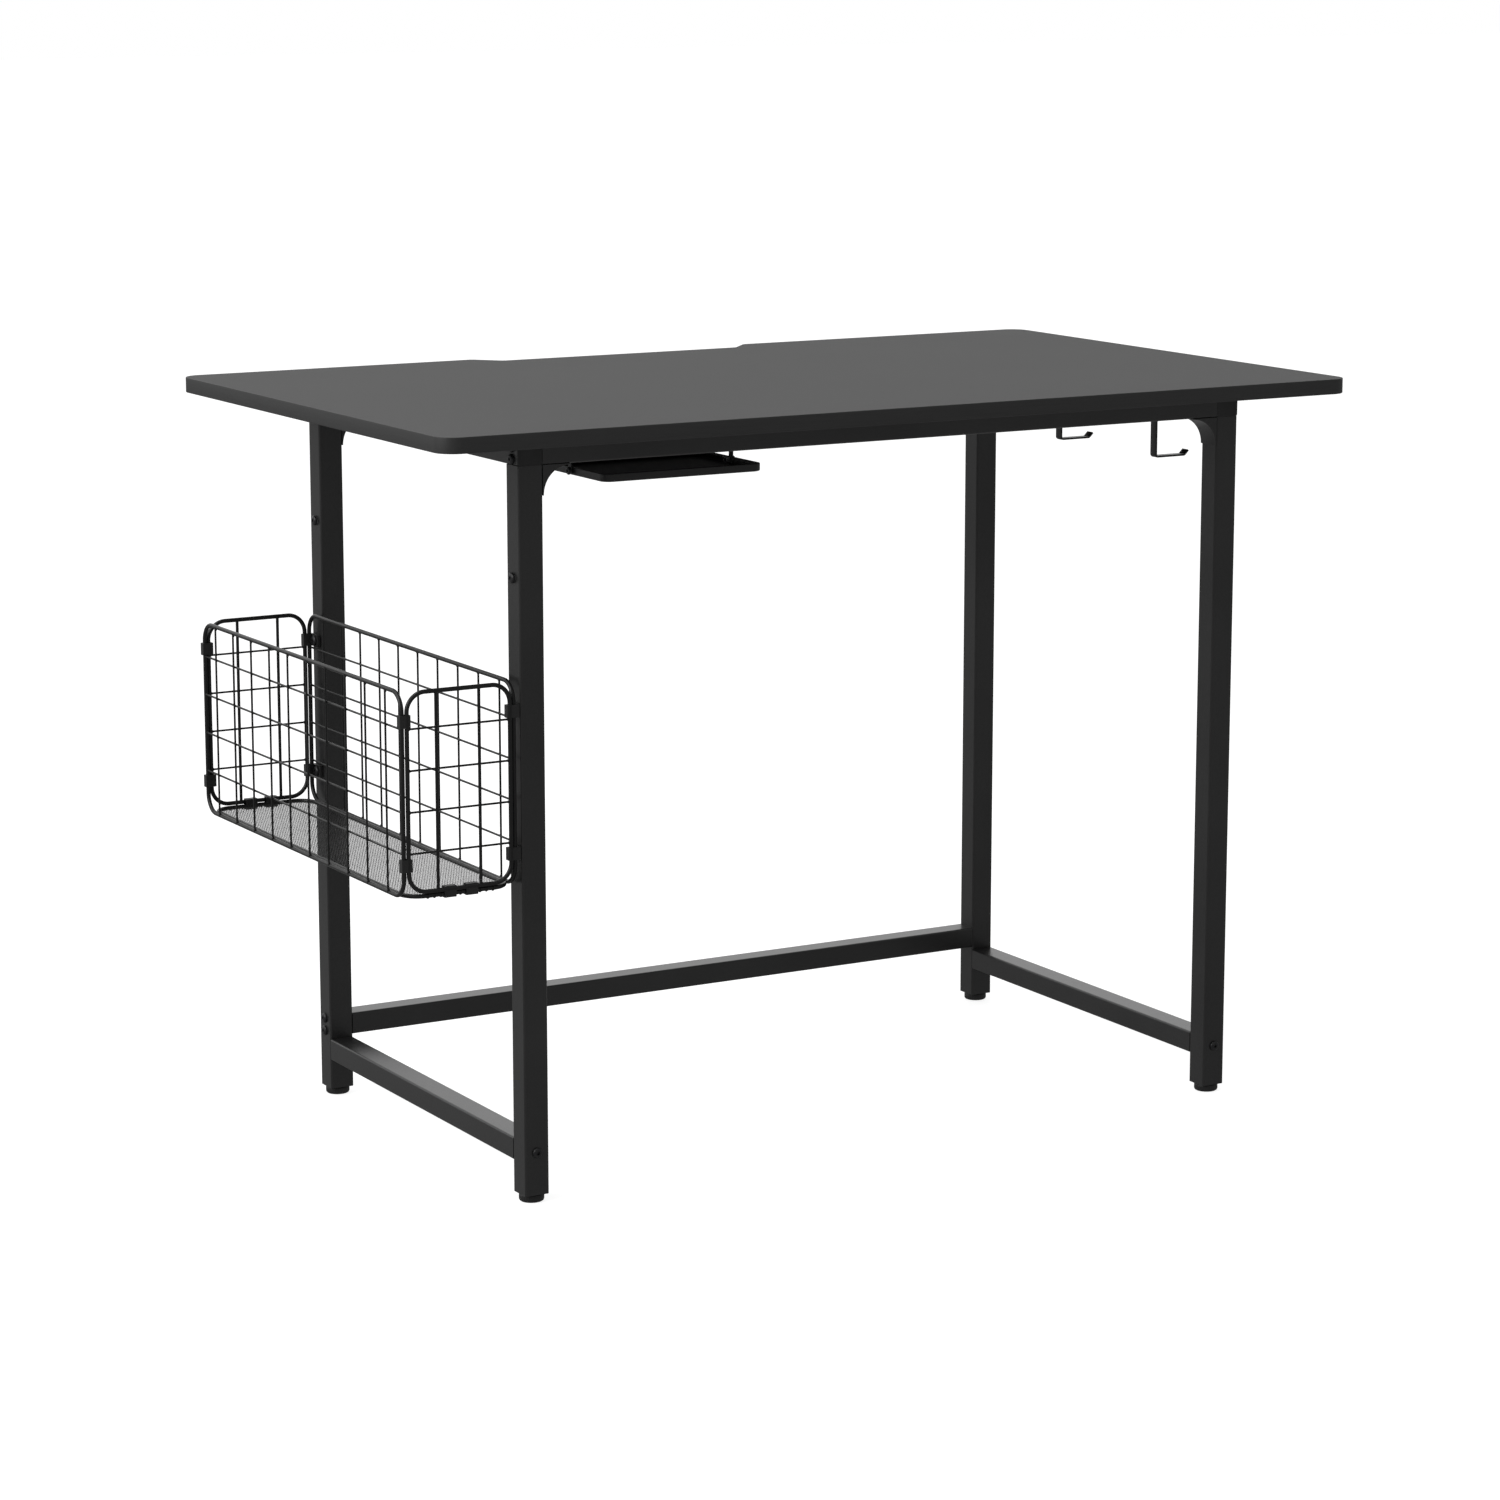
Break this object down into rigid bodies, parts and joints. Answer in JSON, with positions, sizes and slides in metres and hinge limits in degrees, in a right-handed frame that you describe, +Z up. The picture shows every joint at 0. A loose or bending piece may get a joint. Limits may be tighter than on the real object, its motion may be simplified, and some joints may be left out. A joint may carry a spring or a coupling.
{
  "type": "computer desk",
  "caption": "Small computer desk: rectangular board with a rear cable notch on a square-tube frame, wire basket on the left, tilting accessory tray, headset hooks and levelling feet.",
  "frame": {"origin": "on the floor, under the centre of the whole desk's box, with the feet screwed fully in", "axes": "+X to the user's right along the board's long side, +Y away from the user towards the rear edge, +Z up"},
  "size_m": [1.0212, 0.6, 0.73],
  "materials": {
    "board": "black laminate on particle board, fine matt texture",
    "edge_band": "black edge band, satin",
    "frame_steel": "black powder coat, fine texture",
    "moulded_black": "black moulded plastic",
    "bolt_black": "black oxide steel",
    "zinc_steel": "zinc plated steel",
    "accessory_steel": "black powder coat, smooth",
    "basket_wire": "black coated wire, satin",
    "basket_mesh": "black coated fine steel mesh"
  },
  "bodies": {
    "frame": {"desktop_board": "board", "desktop_edge_band": "edge_band", "leg_front_left": "frame_steel", "leg_front_right": "frame_steel", "leg_rear_left": "frame_steel", "leg_rear_right": "frame_steel", "top_side_rail_left": "frame_steel", "top_side_rail_right": "frame_steel", "top_rail_front": "frame_steel", "top_rail_rear": "frame_steel", "low_side_rail_left": "frame_steel", "low_side_rail_right": "frame_steel", "rear_stretcher": "frame_steel", "corner_brace_front_left": "frame_steel", "corner_brace_front_right": "frame_steel", "corner_brace_rear_left": "frame_steel", "corner_brace_rear_right": "frame_steel", "side_rail_end_caps": "moulded_black", "top_rail_end_plugs": "moulded_black", "stretcher_end_plugs": "moulded_black", "low_rail_end_plugs": "moulded_black", "leg_foot_plugs": "moulded_black", "basket_mount_clips": "moulded_black", "basket_corner_clips": "moulded_black", "basket_base_ties": "moulded_black", "corner_bolts": "bolt_black", "stretcher_bolts": "bolt_black", "low_rail_bolts": "bolt_black", "basket_bolts": "bolt_black", "spare_hole_bolts": "bolt_black", "hook_screws": "bolt_black", "tray_hanger_screws": "bolt_black", "desktop_screws": "bolt_black", "leg_top_spigots": "zinc_steel", "rivet_nuts": "zinc_steel", "headset_hook_front": "accessory_steel", "headset_hook_rear": "accessory_steel", "tray_hanger_left": "accessory_steel", "tray_hanger_right": "accessory_steel", "basket_panel_outer": "basket_wire", "basket_panel_inner": "basket_wire", "basket_panel_front": "basket_wire", "basket_panel_rear": "basket_wire", "basket_base_ring": "basket_wire", "basket_base_mesh": "basket_mesh"},
    "tray": {"accessory_tray": "accessory_steel", "tray_pivot_screws": "bolt_black", "tray_pivot_nuts": "zinc_steel"},
    "foot_front_left": {"foot_pad_front_left": "moulded_black", "foot_stud_front_left": "zinc_steel"},
    "foot_front_right": {"foot_pad_front_right": "moulded_black", "foot_stud_front_right": "zinc_steel"},
    "foot_rear_left": {"foot_pad_rear_left": "moulded_black", "foot_stud_rear_left": "zinc_steel"},
    "foot_rear_right": {"foot_pad_rear_right": "moulded_black", "foot_stud_rear_right": "zinc_steel"}
  },
  "joints": [
    {"name": "foot_front_left_level", "type": "slide", "parent": "frame", "child": "foot_front_left", "axis": [0, 0, 1], "range_m": [-0.01, 0]},
    {"name": "foot_front_right_level", "type": "slide", "parent": "frame", "child": "foot_front_right", "axis": [0, 0, 1], "range_m": [-0.01, 0]},
    {"name": "foot_rear_left_level", "type": "slide", "parent": "frame", "child": "foot_rear_left", "axis": [0, 0, 1], "range_m": [-0.01, 0]},
    {"name": "foot_rear_right_level", "type": "slide", "parent": "frame", "child": "foot_rear_right", "axis": [0, 0, 1], "range_m": [-0.01, 0]},
    {"name": "tray_tilt", "type": "hinge", "parent": "frame", "child": "tray", "pos_m": [-0.1989, -0.15, 0.6718], "axis": [1, 0, 0], "range_deg": [-30, 30]}
  ]
}
